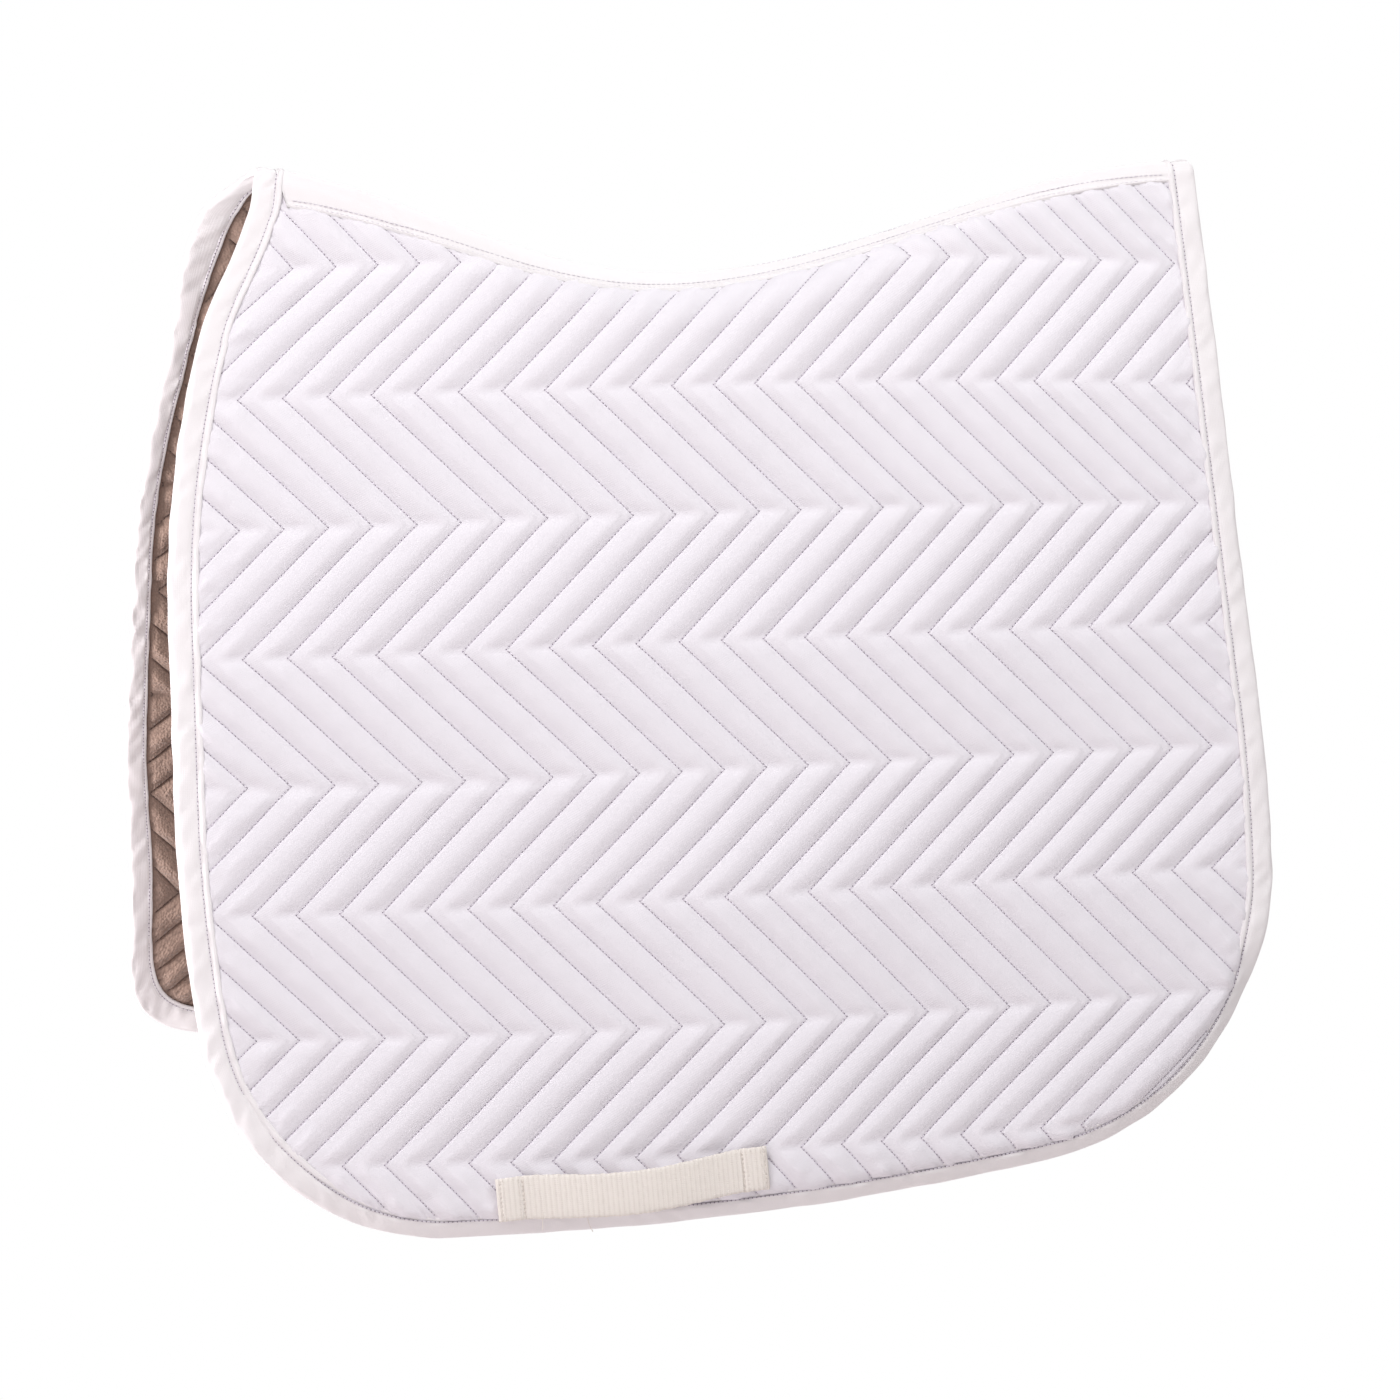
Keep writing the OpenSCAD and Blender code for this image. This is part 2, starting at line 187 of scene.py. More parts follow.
def sway(u, v, side):
    """How far the whole thickness of a flap waves out of its plane."""
    depth = smooth((v - 60) / 380)
    broad = LONG_SWAY * np.sin(2 * np.pi * (u / 430 + 0.12 * side) + v / 190)
    broad = broad + SHORT_SWAY * np.sin(2 * np.pi * u / 210 - v / 90 + side)
    rough = ROUGH_SWAY * smooth((v - 20) / 60) * noise(u / 55, v / 55, 5 + side)
    # the bound edge curls a little towards the horse
    curl = CURL * smooth((v - 40) / 80) * np.clip(1 - inset_of(u, v) / CURL_W, 0, 1) ** 2
    return depth * broad + rough - curl


def ahead(u, l, side):
    """How far forward the top front of the right flap hangs; the left one's is pulled back."""
    right_one = swell(l, HANG_AHEAD, 30, 28, 115)
    left_one = swell(l, -PULLED_BACK, 28, 38, 62)
    return smooth((-90 - u) / 170) * np.where(side > 0, right_one, left_one)


def squarer(u, v, side):
    """The lower front corner of the right flap hangs further out than its mirror image."""
    away = ((u - CORNER_AT[0]) ** 2 + (v - CORNER_AT[1]) ** 2) / CORNER_REACH ** 2
    pull = (side > 0) * CORNER_PULL * np.exp(-away)
    return u + CORNER_WAY[0] * pull, v + CORNER_WAY[1] * pull


def place(u, v, n, side, swaying=True):
    """Cloth coordinates to a point of the row frame, in metres."""
    u, v, n = np.broadcast_arrays(np.asarray(u, float), np.asarray(v, float), np.asarray(n, float))
    if swaying:
        n = n + sway(u, v, side)
        u, v = squarer(u, v, side)
    l = v - ridge_v(u)
    return over_ridge(u, l, n, side)


def over_ridge(u, l, n, side):
    """A point at the length l from the ridge, round its curve and straight down below it."""
    r, most = ridge_r(u), arc_l(u)
    a = np.minimum(np.abs(l), most) / r
    rest = np.maximum(0, np.abs(l) - most)
    y = (r + n) * np.sin(a) + rest * SIN_L
    z = mid_z(u) - r + (r + n) * np.cos(a) - rest * COS_L
    half = side * np.where(l < 0, -1, 1)
    return np.stack([u - ahead(u, np.abs(l), half), half * y, z], -1) * MM


def band_half(u):
    """Half the width of the spine's cover band, which narrows towards the rear."""
    return BAND_REAR + (BAND_FRONT - BAND_REAR) * smooth((150 - u) / 250)


def outline(step=2.4):
    """Points and inward normals of the flap's edge, from the fold at the front to the one at the rear."""
    points, normals = [], []

    def arc(c, r, a0, a1):
        count = max(2, int(round(r * math.radians(a1 - a0) / step)))
        for k in range(count):
            h = heading(a0 + (a1 - a0) * k / count)
            points.append(c + r * h)
            normals.append(-h)

    arc(FRONT_C, FRONT_R, math.degrees(math.asin((CUT_V - FRONT_V) / FRONT_R)), 0)
    points.extend([[-FRONT_REACH, FRONT_V + k * step] for k in range(int((BEND_V - FRONT_V) / step))])
    normals.extend([[1.0, 0.0]] * int((BEND_V - FRONT_V) / step))
    arc(BEND_C, BEND_R, 0, BEND_A)
    arc(FRONT_CORNER_C, FRONT_CORNER_R, BEND_A, 90)
    arc(BOTTOM_C, BOTTOM_R, 90, 90 + RISE_A)
    arc(REAR_CORNER_C, REAR_CORNER_R, 90 + RISE_A, 180)
    arc(REAR_C, REAR_R, 180, 180 + REAR_A)
    away = -heading(180 + REAR_A)
    count = int(round((REAR_P[1] - CUT_V) / step))
    for k in range(count + 1):
        v = REAR_P[1] + (CUT_V - REAR_P[1]) * k / count
        points.append([rear_u(v), v])
        normals.append(away)
    return np.array(points), np.array(normals)


EDGE, EDGE_IN = outline()


def inset_of(u, v):
    """Distance inwards from the pad's edge, on the flap and up to the ridge."""
    best = np.full(np.shape(u), 1e9)
    for p, d in zip(EDGE[::3], EDGE_IN[::3]):
        best = np.minimum(best, (u - p[0]) * d[0] + (v - p[1]) * d[1])
    high = v < FRONT_V
    upper = np.minimum(FRONT_R - np.hypot(u - FRONT_C[0], v - FRONT_V), best)
    return np.where(high, upper, best)


def tuck(u, v):
    """How fully the tape turns under: not on the sides, and wholly along the bottom and its rear corner."""
    return smooth((v - 490 + 115 * smooth((u + 100) / 300)) / 45)


def inside_extra(u, v):
    """How much further in the tape reaches inside than it does elsewhere."""
    less = INSIDE_LESS * (1 - smooth((v - 150) / 280)) * smooth((v + 30) / 100)
    more = INSIDE_MORE * (1 - smooth((v + 30) / 80)) * smooth((v - ridge_v(u) - 14) / 15)
    return (u < 0) * (more - less)


def lean_under(inset, tucked):
    """How far the cloth leans towards the horse beside and under the turned tape."""
    past = np.clip(tuck_pivot(tucked) + 2 - inset, 0, None)
    return -np.tan(TUCK_A * tucked) * past ** 2 / (past + 4)


# ---- Building meshes ----
def make(name, points, faces, material, cloth=None, flat=None):
    """A mesh from points in metres and arrays of faces, each of polygons with the same number of sides.
    cloth is each point's place on the cloth, for the weave, and flat says which arrays stay unsmoothed."""
    me = bpy.data.meshes.new(name)
    me.vertices.add(len(points))
    me.vertices.foreach_set("co", np.asarray(points, np.float32).ravel())
    sizes = np.concatenate([np.full(len(f), f.shape[1]) for f in faces])
    loops = np.concatenate([f.ravel() for f in faces]).astype(np.int32)
    me.loops.add(len(loops))
    me.loops.foreach_set("vertex_index", loops)
    me.polygons.add(len(sizes))
    me.polygons.foreach_set("loop_start", np.concatenate([[0], np.cumsum(sizes)[:-1]]).astype(np.int32))
    smoothed = np.concatenate([np.full(len(f), not (flat and flat[k])) for k, f in enumerate(faces)])
    me.polygons.foreach_set("use_smooth", smoothed)
    me.update(calc_edges=True)
    if me.validate(verbose=False):
        print("repaired", name)
    if cloth is not None:
        attribute = me.attributes.new("cloth", "FLOAT_VECTOR", "POINT")
        attribute.data.foreach_set("vector", np.asarray(cloth, np.float32).ravel())
    me.materials.append(material)
    o = bpy.data.objects.new(name, me)
    bpy.context.scene.collection.objects.link(o)
    return o


def facing(faces, side):
    """The faces in their order for the right half, or reversed for its mirror image."""
    return [f if side > 0 else f[:, ::-1] for f in faces]


def grid_corners(rows, cols):
    """The corners of every cell of a grid of points, its rim's points in order, and the next of each."""
    index = np.arange(rows * cols).reshape(rows, cols)
    corners = index[:-1, :-1], index[:-1, 1:], index[1:, 1:], index[1:, :-1]
    rim = np.concatenate([index[0, :], index[1:, -1], index[-1, -2::-1], index[-2:0:-1, 0]])
    return corners, rim, np.roll(rim, -1)


def tube_faces(rings, sides):
    """The quads between neighbouring rings of points, from the first ring to the last."""
    i = np.arange(rings - 1)[:, None]
    k = np.arange(sides)[None, :]
    a, b = i * sides + k, i * sides + (k + 1) % sides
    return np.stack([a, b, b + sides, a + sides], -1).reshape(-1, 4)


def stitches(name, runs, radius, materials, lift=0.1, gap=0.36):
    """Short threads as one mesh: each is a spindle with a square section.  runs lists their starts, ends
    and normals.  With a second material, a needle hole follows each thread, coloured dark as painted shade
    for the shadow inside it; gap is its length over the thread's."""
    starts, ends, normals = (np.concatenate(x) for x in zip(*runs))
    radius, lift = radius * MM, lift * MM
    along = ends - starts
    along /= np.linalg.norm(along, axis=1)[:, None]
    across = np.cross(normals, along)
    across /= np.linalg.norm(across, axis=1)[:, None]
    out = np.cross(along, across)
    rings = []
    for share, width in ((0.0, 0.45), (0.5, 1.0), (1.0, 0.45)):
        middle = starts + (ends - starts) * share + out * (lift * (1 - (2 * share - 1) ** 2))
        for c, s in ((1, 0), (0, 1), (-1, 0), (0, -1)):
            rings.append(middle + (across * c + out * s) * radius * width)
    count = len(starts)
    points = np.stack(rings, 1).reshape(-1, 3)
    one = np.concatenate([tube_faces(3, 4), [[3, 2, 1, 0], [8, 9, 10, 11]]])
    faces = (one[None] + (np.arange(count) * 12)[:, None, None]).reshape(-1, 4)
    if len(materials) == 1:
        return make(name, points, [faces], materials[0])
    # each hole is a low diamond that lies between one thread's end and the next one's start
    step = (ends - starts) * gap
    middle = ends + step / 2
    long, wide = step * HOLE_LONG, across * (radius * HOLE_WIDE)
    corners = [middle - long, middle + wide, middle + long, middle - wide]
    holes = [*corners, middle + out * radius * HOLE_HIGH, middle - out * radius]
    holes = np.stack(holes, 1).reshape(-1, 3)
    fans = np.array([[4, (k + 1) % 4, k] for k in range(4)] + [[5, k, (k + 1) % 4] for k in range(4)])
    hole_faces = (fans[None] + (np.arange(count) * 6)[:, None, None]).reshape(-1, 3) + len(points)
    # painted shade: the holes take the second, dark material, which stands for the shadow inside each needle
    # hole
    o = make(name, np.concatenate([points, holes]), [faces, hole_faces], materials[0])
    o.data.materials.append(materials[1])
    which = np.repeat([0, 1], [len(faces), len(hole_faces)]).astype(np.int32)
    o.data.polygons.foreach_set("material_index", which)
    return o


# ---- The quilting grid ----
def drift(u, v):
    """The slow wander of the quilting off its even grid, as cubics over the face: the rows bow, and they
    crowd towards the lower front."""
    x, y = u / 300, (v - 230) / 250
    du = 3.3 + x * (2.9 - 3.1 * x - 1.4 * x * x) - y * (3.8 + 4.3 * y + 3.0 * y * y)
    du = du + x * y * (5.6 * x - 8.6 * y)
    dv = 2.0 - x * (4.8 + 0.2 * x - 1.5 * x * x) + y * (2.5 - 1.1 * y - 0.5 * y * y)
    dv = dv + x * y * (2.8 * y - 6.6 * x)
    return u + du + 0.5 * noise(u / 70 + 9, v / 50, 22), v + dv + 0.5 * noise(u / 80, v / 60, 21)


def whole_cells(low, high, cell):
    """Numbers of the grid lines from low to high, rounded outwards to whole blocks."""
    return np.arange(math.floor(low / cell / BLOCK) * BLOCK, math.ceil(high / cell / BLOCK) * BLOCK + 1)


IU = whole_cells(-336, 360, CELL_U)
JV = whole_cells(-95 - FIRST_ROW, 552 - FIRST_ROW, CELL_V)
GI, GJ = np.meshgrid(IU, JV, indexing="ij")
GRID_U, GRID_V = PITCH / 2 + CELL_U * GI, FIRST_ROW + CELL_V * GJ
BANDS = GJ // N_ROW
STEP = GJ - N_ROW * BANDS
TRI = np.where(BANDS % 2 == 0, N_ROW - STEP, STEP)
SEWN = (GI - TRI) % N_PITCH == 0
PAD_U, PAD_V = drift(GRID_U.astype(float), GRID_V.astype(float))
PAD_INSET = inset_of(PAD_U, PAD_V)
PAD_L = PAD_V - ridge_v(PAD_U)
NU, NV = GI.shape


def whole_blocks(mask):
    """Blocks of cells whose corners and inner points all lie in the mask."""
    bu, bv = (NU - 1) // BLOCK, (NV - 1) // BLOCK
    inside = np.ones((bu, bv), bool)
    for a in range(BLOCK + 1):
        for b in range(BLOCK + 1):
            inside &= mask[a:a + bu * BLOCK:BLOCK, b:b + bv * BLOCK:BLOCK][:bu, :bv]
    return inside


# the blocks and the cells that belong to the pad
KEPT = whole_blocks((PAD_INSET > 1.8) & (PAD_L > 0.9))
CELLS = np.repeat(np.repeat(KEPT, BLOCK, 0), BLOCK, 1)
TUCKED = tuck(PAD_U, PAD_V)
HELD = SEWN | (PAD_INSET < SINK_INSET - SINK_IN * TUCKED) | (PAD_L < band_half(PAD_U) - 1.2)


def simulate_quilting():
    """Inflates the cloth between its sewn lines once: the displacement of each grid point, in mm."""
    scale = 0.01
    start = np.stack([GRID_U * scale, -GRID_V * scale, np.zeros_like(GRID_U, float)], -1).reshape(-1, 3)
    quads = np.stack(grid_corners(NU, NV)[0], -1)[CELLS]
    used = np.unique(quads)
    back = np.full(NU * NV, -1)
    back[used] = np.arange(len(used))
    me = bpy.data.meshes.new("quilting")
    me.from_pydata(start[used].tolist(), [], back[quads].tolist())
    o = bpy.data.objects.new("quilting", me)
    bpy.context.scene.collection.objects.link(o)
    group = o.vertex_groups.new(name="sewn")
    group.add(np.nonzero(HELD.reshape(-1)[used])[0].tolist(), 1.0, "REPLACE")
    cloth = o.modifiers.new("cloth", "CLOTH")
    s = cloth.settings
    s.vertex_group_mass = "sewn"
    s.quality, s.mass, s.air_damping = 6, 0.3, 5
    s.tension_stiffness = s.compression_stiffness = 15
    s.shear_stiffness, s.bending_stiffness = 5, 0.5
    s.use_pressure, s.uniform_pressure_force = True, 4.0
    s.shrink_min = s.shrink_max = -0.08
    s.effector_weights.gravity = 0
    cloth.collision_settings.use_collision = False
    cloth.collision_settings.use_self_collision = False
    frames = 24
    cloth.point_cache.frame_start, cloth.point_cache.frame_end = 1, frames
    for k in range(1, frames + 1):
        bpy.context.scene.frame_set(k)
    shaped = o.evaluated_get(bpy.context.evaluated_depsgraph_get()).data
    co = np.zeros(len(shaped.vertices) * 3, np.float32)
    shaped.vertices.foreach_get("co", co)
    moved = np.zeros((NU * NV, 3))
    moved[used] = (co.reshape(-1, 3) - start[used]) / scale
    bpy.context.scene.frame_set(1)
    bpy.data.objects.remove(o)
    bpy.data.meshes.remove(me)
    moved[:, 1] *= -1
    return moved.reshape(NU, NV, 3)


def even_out(moved):
    """Averages each roll along its own run, which removes the grid's ripple and keeps the sewn lines."""
    total, weight = np.zeros_like(moved), np.zeros((NU, NV, 1))
    for k in range(-3, 4):
        for way in (-1, 1):
            mine = (BANDS % 2 == 0) if way < 0 else (BANDS % 2 == 1)
            shifted = np.roll(np.roll(moved, -way * k, 0), -k, 1)
            same = (np.roll(BANDS, -k, 1) == BANDS) & mine & ~np.roll(np.roll(HELD, -way * k, 0), -k, 1)
            share = (same * (1.0 if k == 0 else 0.8 if abs(k) == 1 else 0.5))[..., None]
            total += shifted * share
            weight += share
    mean = total / np.maximum(weight, 1e-6)
    return np.where((HELD | (weight[..., 0] < 1e-6))[..., None], moved, mean)


def gathers(moved):
    """Each corner of a zigzag pulls a short crease into the roll outside it, along the row."""
    near = np.minimum(STEP, N_ROW - STEP) * CELL_V
    row = np.where(STEP * 2 < N_ROW, BANDS, BANDS + 1)
    # corners of even rows point to the rear and those of odd rows to the front
    apex = np.where(row % 2 == 0, N_ROW, 0)
    behind = np.mod(GI - apex, N_PITCH) * CELL_U
    outward = np.where(row % 2 == 0, behind, np.mod(PITCH - behind, PITCH))
    reach = SHARP_REACH + 5 * noise(GI / 10.0, row * 3.7, 31)
    deep = SHARP_DEEP * np.clip(1 - outward / reach, 0, 1) * np.exp(-(near / SHARP_WIDE) ** 2)
    soft = SOFT_DEEP * np.exp(-(near / SOFT_WIDE) ** 2)
    out = moved.copy()
    out[..., 2] *= 1 - np.clip(deep + soft, 0, MOST_GATHERED)
    return out


RAW = simulate_quilting()
RELIEF = gathers(even_out(RAW))
# the flanks rise steeply beside the sewn lines and the crowns are broad
CROWN = float(np.percentile(RELIEF[..., 2], 97))
RELIEF[..., 2] = CROWN * np.clip(RELIEF[..., 2] / CROWN, 0, None) ** FLANK
RELIEF[..., 2] *= 1 + 0.09 * noise(GRID_U / 16, GRID_V / 16, 41) + 0.06 * noise(GRID_U / 7, GRID_V / 7, 42)
# the cloth puckers a little beside the tape
NEAR_TAPE = 1 - smooth((PAD_INSET - BINDING_W - 4) / 30)
RELIEF[..., 2] *= 1 + 0.3 * NEAR_TAPE * noise((GRID_U + GRID_V) / 9, (GRID_U - GRID_V) / 9, 43)
RELIEF[..., :2] *= 0.8
# the stored fold lies along the fifth row of corners, near the front
FOLDED = np.exp(-((GRID_V - STORED_AT) / 2.2) ** 2) * smooth((GRID_U + 290) / 30)
FOLDED = FOLDED * smooth((-60 - GRID_U) / 40)
RELIEF[..., 2] *= 1 - STORED_DEEP * FOLDED


def quilted_panel(name, side, layer, material):
    """One quilted layer: its puffed outer side on the fine grid, closed by a plain back on the blocks."""
    gain = PUFF_GAIN if layer > 0 else LINING_GAIN
    free = 1 if layer > 0 else smooth((PAD_INSET - 13 - inside_extra(PAD_U, PAD_V)) / 6)
    u = PAD_U + RELIEF[..., 0] * gain
    v = PAD_V + RELIEF[..., 1] * gain
    n = layer * (SEW_N + RELIEF[..., 2] * gain * free)
    lean = lean_under(PAD_INSET, TUCKED)
    outer = place(u, v, n + lean, side).reshape(-1, 3)
    inner = place(PAD_U, PAD_V, layer * 0.2 + lean, side).reshape(-1, 3)
    # each cell is cut along the way the sewn lines run through it
    a, b, c, d = (corner[CELLS] for corner in grid_corners(NU, NV)[0])
    down_left = (BANDS[:-1, :-1] % 2 == 0)[CELLS][:, None]
    first = np.where(down_left, np.stack([a, b, d], -1), np.stack([a, b, c], -1))
    second = np.where(down_left, np.stack([b, c, d], -1), np.stack([a, c, d], -1))
    front = np.concatenate([first, second])
    count = NU * NV
    index = np.arange(count).reshape(NU, NV)
    bi, bj = np.nonzero(KEPT)
    bi, bj = bi * BLOCK, bj * BLOCK
    corners = ((0, 0), (BLOCK, 0), (BLOCK, BLOCK), (0, BLOCK))
    back = np.stack([index[bi + x, bj + y] + count for x, y in corners], -1)
    walls = []
    around = np.pad(KEPT, 1)
    steps = range(BLOCK + 1)
    runs = (((-1, 0), [(0, k) for k in steps]), ((1, 0), [(BLOCK, BLOCK - k) for k in steps]),
            ((0, -1), [(BLOCK - k, 0) for k in steps]), ((0, 1), [(k, BLOCK) for k in steps]))
    for (dx, dy), run in runs:
        open_side = ~around[1 + dx:1 + dx + KEPT.shape[0], 1 + dy:1 + dy + KEPT.shape[1]] & KEPT
        wi, wj = np.nonzero(open_side)
        wi, wj = wi * BLOCK, wj * BLOCK
        top = [index[wi + x, wj + y] for x, y in run]
        low = [top[0] + count, top[-1] + count]
        walls.append(np.stack([low[1], *top[::-1], low[0]], -1))
    walls = np.concatenate(walls)
    faces = [front, back, walls]
    # the right half's face and the left half's lining keep this order, and their mirror images reverse it
    turn = side * layer
    faces = [f if turn > 0 else f[:, ::-1] for f in faces]
    used = np.unique(np.concatenate([f.ravel() for f in faces]))
    renumber = np.full(2 * count, -1)
    renumber[used] = np.arange(len(used))
    points = np.concatenate([outer, inner])[used]
    cloth = [np.stack(layer_at, -1).reshape(-1, 3) for layer_at in ((u, v, n), (PAD_U, PAD_V, n))]
    cloth = np.concatenate(cloth)[used] * MM
    o = make(name, points, [renumber[f] for f in faces], material, cloth, flat=[False, True, True])
    crease(o.data, used)
    # keeps the grid's facets out of the shade on the flanks
    o.cycles.shadow_terminator_geometry_offset = 0.35
    return o


def crease(me, used):
    """Marks the cloth's edges along the sewn lines sharp: the stitches fold it there."""
    ends = np.zeros(len(me.edges) * 2, np.int32)
    me.edges.foreach_get("vertices", ends)
    a, b = used[ends.reshape(-1, 2)].T
    count = NU * NV
    outer = (a < count) & (b < count)
    a, b = a % count, b % count
    sewn = SEWN.reshape(-1)
    stepped = (np.abs(a // NV - b // NV) == 1) & (np.abs(a % NV - b % NV) == 1)
    sharp = outer & sewn[a] & sewn[b] & stepped
    me.attributes.new("sharp_edge", "BOOLEAN", "EDGE").data.foreach_set("value", sharp)


# ---- The edge tape ----
def tape_path():
    """Rings of the tape from the ridge at the front, round the flap, to the ridge at the rear.  Each is
    (kind, at, direction): at is a share of the way from ridge to fold, or a point of the flap's edge."""
    shares = np.concatenate([np.linspace(0, 0.12, 14)[:-1], np.linspace(0.12, 1, 36)[:-1]])
    rings = [("front", float(t), None) for t in shares]
    level = np.array([1.0, 0.0])
    for p, d in zip(EDGE, EDGE_IN):
        if p[0] < 0:
            w = smooth((p[1] - CUT_V) / 70)
            d = level * (1 - w) + d * w
        elif p[1] < CUT_V + 90:
            w = smooth((p[1] - CUT_V) / 70)
            d = -level * (1 - w) + d * w
        rings.append(("flap", p, d))
    rings.extend([("rear", float(t), None) for t in shares[::-1]])
    return rings


RINGS = tape_path()
FRONT_END, REAR_END = float(front_u(-70.0)), float(rear_u(-70.0))
FRONT_L = CUT_V - float(ridge_v(np.array(FRONT_END)))
REAR_L = CUT_V - float(ridge_v(np.array(REAR_END)))


def ring_uv(ring, inset, true_d):
    """The cloth coordinates at each inset along one ring."""
    kind, at, d = ring
    if kind == "flap":
        size = float(np.hypot(*d))
        stretch = 1.0 / max(0.7, float(np.dot(d, true_d)) / size) / size
        return at[0] + inset * d[0] * stretch, at[1] + inset * d[1] * stretch
    if kind == "front":
        u = front_u(CUT_V - (1 - at) * FRONT_L, 0) + inset
    else:
        u = rear_u(CUT_V - (1 - at) * REAR_L, 0) - inset
    l = at * (CUT_V - ridge_v(u))
    return u, ridge_v(u) + l


# The tape's section as (inset, height): flat with a rolled lip outside, and with a plain raw edge inside.
TAPE_OUTSIDE = [(16.7, 1.2), (17.0, 2.0), (16.9, 2.9), (16.4, 3.5), (15.6, 3.8), (14.7, 3.75), (13.9, 3.35),
                (13.3, 2.7), (12.8, 2.2), (12.2, 2.45), (11.4, 2.8), (9.8, 3.05), (7.8, 3.1), (5.8, 3.1),
                (4.0, 3.05), (2.5, 2.9), (1.3, 2.5), (0.6, 1.9), (0.2, 1.2), (0.04, 0.6)]
TAPE_INSIDE = [(0.04, -0.6), (0.2, -1.2), (0.6, -1.8), (1.3, -2.3), (2.5, -2.6), (4.0, -2.8), (5.8, -2.85),
               (7.8, -2.85), (9.8, -2.8), (11.2, -2.6), (12.0, -2.2), (12.6, -2.4), (13.3, -2.5),
               (13.9, -2.3), (14.1, -1.8), (13.9, -1.2)]
CHANNEL = [(9.0, -1.2), (2.2, -1.2), (1.5, 0.0), (2.2, 1.2), (9.0, 1.2)]
TAPE_SECTION = np.array(TAPE_OUTSIDE + [(0.0, 0.0)] + TAPE_INSIDE + CHANNEL)
OUTER_DIP, INNER_DIP = 8, len(TAPE_OUTSIDE) + 1 + 10    # the section's points where the stitches run
LIP_FOOT = 16.9     # inset of the lip's foot, about which the tape turns under
LAP_AT = 560.0      # length along the tape where its end laps over its start


def turned(w):
    """The tape's section turned under by the share w: its lowest point stays on the pad's outline.
    Also returns how far in from there its turning point lies."""
    a = TUCK_A * w
    i, n = TAPE_SECTION[:, 0] - LIP_FOOT, TAPE_SECTION[:, 1]
    down = i * math.cos(a) - n * math.sin(a)
    # where it turns under, the cloth's edge laps over the lip
    covered = LIP_COVER * w * ((i > -4.0) & (n > 0))
    return np.stack([down - down.min(), n * math.cos(a) + i * math.sin(a) - covered], -1), -down.min()


TURNS = np.linspace(0, 1, 9)
PIVOTS = np.array([turned(w)[1] for w in TURNS])


def tuck_pivot(w):
    """Distance of the lip's foot from the edge where the tape is turned under by the share w."""
    return np.interp(w, TURNS, PIVOTS)


def edge_tape(name, side, material):
    """The tape as one closed tube along its rings; with it come the rings' cloth coordinates and heights."""
    rows, lengths, heights = [], [], []
    edge_no, length, last = 0, 0.0, None
    widened = smooth((TAPE_SECTION[:, 0] - 6) / 7) * (TAPE_SECTION[:, 1] < 0)
    for ring in RINGS:
        true_d = None
        if ring[0] == "flap":
            true_d = EDGE_IN[edge_no]
            edge_no += 1
        u0, v0 = ring_uv(ring, np.array([0.0]), true_d)
        at = np.array([float(u0[0]), float(v0[0])])
        section = turned(tuck(*at) if ring[0] == "flap" else 0.0)[0]
        section[:, 0] += inside_extra(*at) * widened
        heights.append(section[:, 1])
        u, v = ring_uv(ring, section[:, 0], true_d)
        length += 0 if last is None else float(np.hypot(*(at - last)))
        last = at
        lengths.append(length)
        rows.append(np.stack([u, v], -1))
    rows, heights = np.array(rows), np.array(heights)
    where = np.array(lengths)[:, None]
    inset, n = TAPE_SECTION.T
    layer = np.where(np.abs(n) > 1.4, np.sign(n), 0.0)
    seed = 50 + (side > 0)
    # slanting puckers on the flat part, and a slightly uneven lip
    flat_part = smooth((inset - 0.5) / 2.5) * smooth((12.9 - inset) / 2.0)
    lip_part = np.exp(-((inset - 15.2) / 1.6) ** 2)
    puckers = (1.0 * noise((where + 0.9 * inset) / 5.0, inset / 12 + np.sign(n) * 3, seed)
               + 0.6 * noise((where - 0.6 * inset) / 12, inset / 20, seed + 2))
    bead = 0.45 * noise(where / 7.0, np.sign(n) * 5.0 + 0 * inset, seed + 4)
    lift = layer * (flat_part * puckers + lip_part * bead)
    lap = where - (LAP_AT - 1.7 * inset)
    lift = lift + layer * (n > 0) * swell(lap, 0.7, 0.9, 22, 14) * (inset < 13.2)
    # the tape's edge wanders a little
    across = rows[:, 1:2] - rows[:, len(TAPE_OUTSIDE):len(TAPE_OUTSIDE) + 1]
    across = across / np.linalg.norm(across, axis=2)[..., None]
    wander = 0.4 * noise(where / 15.0, 0 * inset, seed + 6) * (1 - smooth(inset / 6))
    wander = wander + 0.35 * noise(where / 9.0, 0 * inset + 3, seed + 7) * smooth((inset - 12) / 3)
    moved = rows + across * wander[..., None]
    points = place(moved[..., 0], moved[..., 1], heights + lift, side)
    for end in (0, -1):
        points[end, :, 1] = 0.0
    count = len(TAPE_SECTION)
    total = len(rows) * count
    caps = [np.arange(count)[None, ::-1], (total - count + np.arange(count))[None, :]]
    cloth = np.stack(np.broadcast_arrays(where, inset, n), -1).reshape(-1, 3) * MM
    faces = facing([tube_faces(len(rows), count), *caps], side)
    tape = make(name, points.reshape(-1, 3), faces, material, cloth, flat=[False, True, True])
    return tape, rows, heights


def along(line, at):
    """Points at the given lengths along a line of (u, v, n) points."""
    s = np.concatenate([[0], np.cumsum(np.hypot(*np.diff(line[:, :2], axis=0).T))])
    return np.stack([np.interp(at, s, column) for column in line.T], -1)


def tape_stitches(name, side, rows, heights, materials):
    """The line of stitches along the dip beside the lip, on both faces of the tape."""
    runs = []
    for layer, dip in ((1, OUTER_DIP), (-1, INNER_DIP)):
        line = np.concatenate([rows[:, dip], heights[:, dip:dip + 1] + layer * 0.2], 1)
        length = float(np.hypot(*np.diff(line[:, :2], axis=0).T).sum())
        at = np.arange(2.0, length - 3.0, STITCH_PITCH)
        a, b = along(line, at), along(line, at + STITCH_PITCH * 0.74)
        start = place(*a.T, side)
        up = place(a[:, 0], a[:, 1], a[:, 2] + layer, side) - start
        runs.append((start, place(*b.T, side), up))
    return stitches(name, runs, TAPE_R, materials, lift=0.12, gap=0.5)


